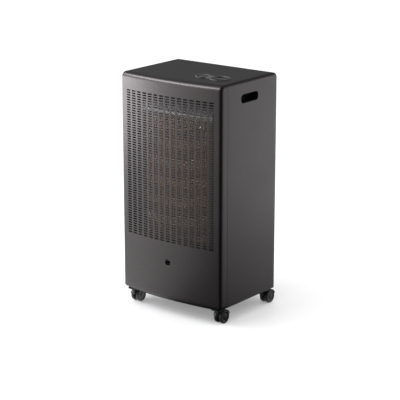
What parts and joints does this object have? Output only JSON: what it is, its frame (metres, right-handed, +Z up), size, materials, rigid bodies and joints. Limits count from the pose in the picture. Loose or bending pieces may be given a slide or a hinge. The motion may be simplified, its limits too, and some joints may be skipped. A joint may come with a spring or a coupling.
{
  "type": "portable gas cabinet heater",
  "caption": "Cabinet heater on four twin-wheel casters, with a bowed slotted front over a catalytic burner, top controls, side hand holes and a bulged rear bottle cover.",
  "frame": {"origin": "on the floor under the middle of the overall box", "axes": "+Z up, front faces -Y, +X to the right seen from the front"},
  "size_m": [0.39, 0.392, 0.7574],
  "materials": {
    "cabinet_paint": "satin charcoal powder coat",
    "tray_paint": "matt black",
    "zinc_sheet": "galvanised",
    "frame_steel": "aluminised",
    "mesh_wire": "heat tinted wire",
    "pad_fibre": "matt fibre",
    "bezel_plastic": "satin",
    "knob_plastic": "satin",
    "grip_plastic": "matt",
    "valve_brass": "machined",
    "valve_alloy": "die cast",
    "bright_steel": "bright",
    "igniter_plastic": "satin",
    "electrode_ceramic": "glazed",
    "pipe_copper": "drawn",
    "caster_zinc": "zinc plated",
    "caster_plastic": "satin black",
    "wheel_plastic": "satin black"
  },
  "bodies": {
    "root": {"cabinet_shell": "cabinet_paint", "front_cover": "cabinet_paint", "base_tray": "tray_paint", "heat_shield": "zinc_sheet", "burner_pan": "zinc_sheet", "gas_diffuser": "zinc_sheet", "burner_bracket_lower": "zinc_sheet", "burner_bracket_upper": "zinc_sheet", "valve_bracket": "zinc_sheet", "pilot_bracket": "zinc_sheet", "heat_deflector": "zinc_sheet", "burner_frame": "frame_steel", "guard_mesh": "mesh_wire", "catalytic_pad": "pad_fibre", "control_bezel": "bezel_plastic", "hand_grip_left": "grip_plastic", "hand_grip_right": "grip_plastic", "burner_injector": "valve_brass", "hose_nozzle": "valve_brass", "pilot_burner": "valve_brass", "gas_valve": "valve_alloy", "thermocouple": "bright_steel", "piezo_igniter": "igniter_plastic", "spark_electrode": "electrode_ceramic", "burner_pipe": "pipe_copper", "pilot_pipe": "pipe_copper", "caster_plates": "caster_zinc"},
    "rear_cover": {"rear_cover": "cabinet_paint"},
    "push_rod": {"valve_push_rod": "bright_steel"},
    "knob": {"control_knob": "knob_plastic", "valve_spindle": "bright_steel"},
    "button": {"igniter_button": "knob_plastic"},
    "front_left_caster": {"front_left_housing": "caster_plastic", "front_left_axle": "caster_zinc"},
    "front_left_wheel_left": {"front_left_wheel_left": "wheel_plastic"},
    "front_left_wheel_right": {"front_left_wheel_right": "wheel_plastic"},
    "front_right_caster": {"front_right_housing": "caster_plastic", "front_right_axle": "caster_zinc"},
    "front_right_wheel_left": {"front_right_wheel_left": "wheel_plastic"},
    "front_right_wheel_right": {"front_right_wheel_right": "wheel_plastic"},
    "rear_left_caster": {"rear_left_housing": "caster_plastic", "rear_left_axle": "caster_zinc"},
    "rear_left_wheel_left": {"rear_left_wheel_left": "wheel_plastic"},
    "rear_left_wheel_right": {"rear_left_wheel_right": "wheel_plastic"},
    "rear_right_caster": {"rear_right_housing": "caster_plastic", "rear_right_axle": "caster_zinc"},
    "rear_right_wheel_left": {"rear_right_wheel_left": "wheel_plastic"},
    "rear_right_wheel_right": {"rear_right_wheel_right": "wheel_plastic"}
  },
  "joints": [
    {"name": "cover_tilt", "type": "hinge", "parent": "root", "child": "rear_cover", "pos_m": [0, 0.1058, 0.715], "axis": [1, 0, 0], "range_deg": [0, 80]},
    {"name": "knob_push", "type": "slide", "parent": "root", "child": "push_rod", "axis": [0, 0, -1], "range_m": [0, 0.004], "stiffness_N_per_m": 1500, "springref_m": -0.004},
    {"name": "knob_turn", "type": "hinge", "parent": "push_rod", "child": "knob", "pos_m": [0.118, -0.088, 0.7435], "axis": [0, 0, 1], "range_deg": [0, 200]},
    {"name": "button_press", "type": "slide", "parent": "root", "child": "button", "axis": [0, 0, -1], "range_m": [0, 0.005], "stiffness_N_per_m": 1500, "springref_m": -0.003},
    {"name": "front_left_swivel", "type": "hinge", "parent": "root", "child": "front_left_caster", "pos_m": [-0.168, -0.158, 0.0465], "axis": [0, 0, 1], "continuous": true},
    {"name": "front_left_roll_left", "type": "hinge", "parent": "front_left_caster", "child": "front_left_wheel_left", "pos_m": [-0.168, -0.14, 0.021], "axis": [1, 0, 0], "continuous": true},
    {"name": "front_left_roll_right", "type": "hinge", "parent": "front_left_caster", "child": "front_left_wheel_right", "pos_m": [-0.168, -0.14, 0.021], "axis": [1, 0, 0], "continuous": true},
    {"name": "front_right_swivel", "type": "hinge", "parent": "root", "child": "front_right_caster", "pos_m": [0.168, -0.158, 0.0465], "axis": [0, 0, 1], "continuous": true},
    {"name": "front_right_roll_left", "type": "hinge", "parent": "front_right_caster", "child": "front_right_wheel_left", "pos_m": [0.168, -0.14, 0.021], "axis": [1, 0, 0], "continuous": true},
    {"name": "front_right_roll_right", "type": "hinge", "parent": "front_right_caster", "child": "front_right_wheel_right", "pos_m": [0.168, -0.14, 0.021], "axis": [1, 0, 0], "continuous": true},
    {"name": "rear_left_swivel", "type": "hinge", "parent": "root", "child": "rear_left_caster", "pos_m": [-0.168, 0.085, 0.0465], "axis": [0, 0, 1], "continuous": true},
    {"name": "rear_left_roll_left", "type": "hinge", "parent": "rear_left_caster", "child": "rear_left_wheel_left", "pos_m": [-0.168, 0.103, 0.021], "axis": [1, 0, 0], "continuous": true},
    {"name": "rear_left_roll_right", "type": "hinge", "parent": "rear_left_caster", "child": "rear_left_wheel_right", "pos_m": [-0.168, 0.103, 0.021], "axis": [1, 0, 0], "continuous": true},
    {"name": "rear_right_swivel", "type": "hinge", "parent": "root", "child": "rear_right_caster", "pos_m": [0.168, 0.085, 0.0465], "axis": [0, 0, 1], "continuous": true},
    {"name": "rear_right_roll_left", "type": "hinge", "parent": "rear_right_caster", "child": "rear_right_wheel_left", "pos_m": [0.168, 0.103, 0.021], "axis": [1, 0, 0], "continuous": true},
    {"name": "rear_right_roll_right", "type": "hinge", "parent": "rear_right_caster", "child": "rear_right_wheel_right", "pos_m": [0.168, 0.103, 0.021], "axis": [1, 0, 0], "continuous": true}
  ]
}
